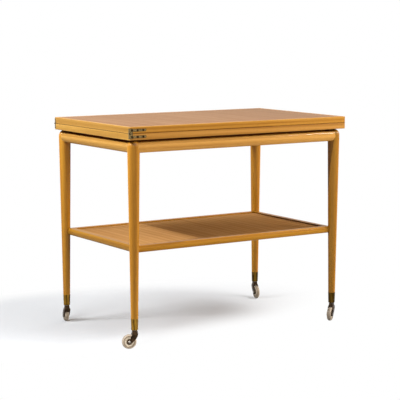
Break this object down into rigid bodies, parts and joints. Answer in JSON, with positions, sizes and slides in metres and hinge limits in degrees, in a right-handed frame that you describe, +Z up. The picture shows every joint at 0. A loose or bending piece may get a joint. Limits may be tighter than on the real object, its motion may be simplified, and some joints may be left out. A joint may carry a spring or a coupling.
{
  "type": "drop leaf tea trolley",
  "caption": "Wooden tea trolley on swivel casters, with a framed shelf and a hinged fold-over top that slides along the frame.",
  "frame": {"origin": "on the floor under the centre of the four legs; the closed top sits 3.5 mm towards +X of it and the casters at rest reach unevenly past the legs, so the whole box's centre lies a few millimetres off it", "axes": "+X along the trolley, away from the end where the two leaves are hinged; +Y across it, towards the back; +Z up"},
  "size_m": [0.9139, 0.5636, 0.75],
  "materials": {
    "leg_wood": "varnished solid wood, satin gloss",
    "apron_wood": "varnished solid wood, satin gloss",
    "shelf_rail_wood": "varnished solid wood, satin gloss",
    "shelf_panel_veneer": "varnished veneer, grain across the trolley, glossy",
    "leaf_veneer": "varnished veneer, grain across the trolley, glossy",
    "leaf_edging_wood": "varnished solid edging, glossy",
    "inner_beech": "planed beech, unfinished",
    "ferrule_brass": "aged brass, satin",
    "hinge_brass": "brushed brass, slightly tarnished",
    "screw_steel": "plain steel screws",
    "socket_steel": "zinc-plated steel",
    "axle_steel": "bright riveted steel",
    "fork_bronze": "dark antique bronze",
    "wheel_plastic": "cream moulded plastic",
    "tyre_rubber": "pale grey-beige soft rubber",
    "felt": "green felt"
  },
  "bodies": {
    "frame": {"leg_front_left": "leg_wood", "leg_front_right": "leg_wood", "leg_back_left": "leg_wood", "leg_back_right": "leg_wood", "ferrule_front_left": "ferrule_brass", "ferrule_front_right": "ferrule_brass", "ferrule_back_left": "ferrule_brass", "ferrule_back_right": "ferrule_brass", "caster_sockets": "socket_steel", "ferrule_pins": "ferrule_brass", "apron_front": "apron_wood", "apron_back": "apron_wood", "apron_left": "apron_wood", "apron_right": "apron_wood", "corner_braces": "inner_beech", "bearer_left": "inner_beech", "bearer_right": "inner_beech", "guide_rail_front": "inner_beech", "guide_rail_back": "inner_beech", "felt_strips": "felt", "slide_stops": "inner_beech", "frame_screws": "screw_steel", "shelf_rail_front": "shelf_rail_wood", "shelf_rail_back": "shelf_rail_wood", "shelf_rail_left": "shelf_rail_wood", "shelf_rail_right": "shelf_rail_wood", "shelf_panel": "shelf_panel_veneer", "shelf_dowels": "inner_beech"},
    "sliding_top": {"lower_leaf_board": "leaf_veneer", "lower_leaf_edging": "leaf_edging_wood", "runner_front": "inner_beech", "runner_back": "inner_beech", "runner_screws": "screw_steel", "hinge_pins": "hinge_brass", "lower_hinge_plate_front": "hinge_brass", "lower_hinge_plate_back": "hinge_brass", "lower_hinge_screws": "hinge_brass"},
    "flip_leaf": {"upper_leaf_board": "leaf_veneer", "upper_leaf_edging": "leaf_edging_wood", "upper_hinge_plate_front": "hinge_brass", "upper_hinge_plate_back": "hinge_brass", "upper_hinge_screws": "hinge_brass"},
    "caster_front_left": {"caster_fork_front_left": "fork_bronze", "caster_axle_front_left": "axle_steel"},
    "wheel_front_left": {"wheel_disc_front_left": "wheel_plastic", "tyre_front_left": "tyre_rubber"},
    "caster_front_right": {"caster_fork_front_right": "fork_bronze", "caster_axle_front_right": "axle_steel"},
    "wheel_front_right": {"wheel_disc_front_right": "wheel_plastic", "tyre_front_right": "tyre_rubber"},
    "caster_back_left": {"caster_fork_back_left": "fork_bronze", "caster_axle_back_left": "axle_steel"},
    "wheel_back_left": {"wheel_disc_back_left": "wheel_plastic", "tyre_back_left": "tyre_rubber"},
    "caster_back_right": {"caster_fork_back_right": "fork_bronze", "caster_axle_back_right": "axle_steel"},
    "wheel_back_right": {"wheel_disc_back_right": "wheel_plastic", "tyre_back_right": "tyre_rubber"}
  },
  "joints": [
    {"name": "top_slide", "type": "slide", "parent": "frame", "child": "sliding_top", "axis": [1, 0, 0], "range_m": [0, 0.4465]},
    {"name": "leaf_fold", "type": "hinge", "parent": "sliding_top", "child": "flip_leaf", "pos_m": [-0.44665, 0, 0.728], "axis": [0, -1, 0], "range_deg": [0, 180]},
    {"name": "swivel_front_left", "type": "hinge", "parent": "frame", "child": "caster_front_left", "pos_m": [-0.419, -0.2455, 0.0628], "axis": [0, 0, 1], "continuous": true},
    {"name": "wheel_spin_front_left", "type": "hinge", "parent": "caster_front_left", "child": "wheel_front_left", "pos_m": [-0.43646, -0.2388, 0.025], "axis": [-0.3584, -0.9336, 0], "continuous": true},
    {"name": "swivel_front_right", "type": "hinge", "parent": "frame", "child": "caster_front_right", "pos_m": [0.419, -0.2455, 0.0628], "axis": [0, 0, 1], "continuous": true},
    {"name": "wheel_spin_front_right", "type": "hinge", "parent": "caster_front_right", "child": "wheel_front_right", "pos_m": [0.40426, -0.25701, 0.025], "axis": [0.6157, -0.788, 0], "continuous": true},
    {"name": "swivel_back_left", "type": "hinge", "parent": "frame", "child": "caster_back_left", "pos_m": [-0.419, 0.2455, 0.0628], "axis": [0, 0, 1], "continuous": true},
    {"name": "wheel_spin_back_left", "type": "hinge", "parent": "caster_back_left", "child": "wheel_back_left", "pos_m": [-0.41385, 0.26348, 0.025], "axis": [-0.9613, 0.2756, 0], "continuous": true},
    {"name": "swivel_back_right", "type": "hinge", "parent": "frame", "child": "caster_back_right", "pos_m": [0.419, 0.2455, 0.0628], "axis": [0, 0, 1], "continuous": true},
    {"name": "wheel_spin_back_right", "type": "hinge", "parent": "caster_back_right", "child": "wheel_back_right", "pos_m": [0.41353, 0.22762, 0.025], "axis": [0.9563, -0.2924, 0], "continuous": true}
  ]
}
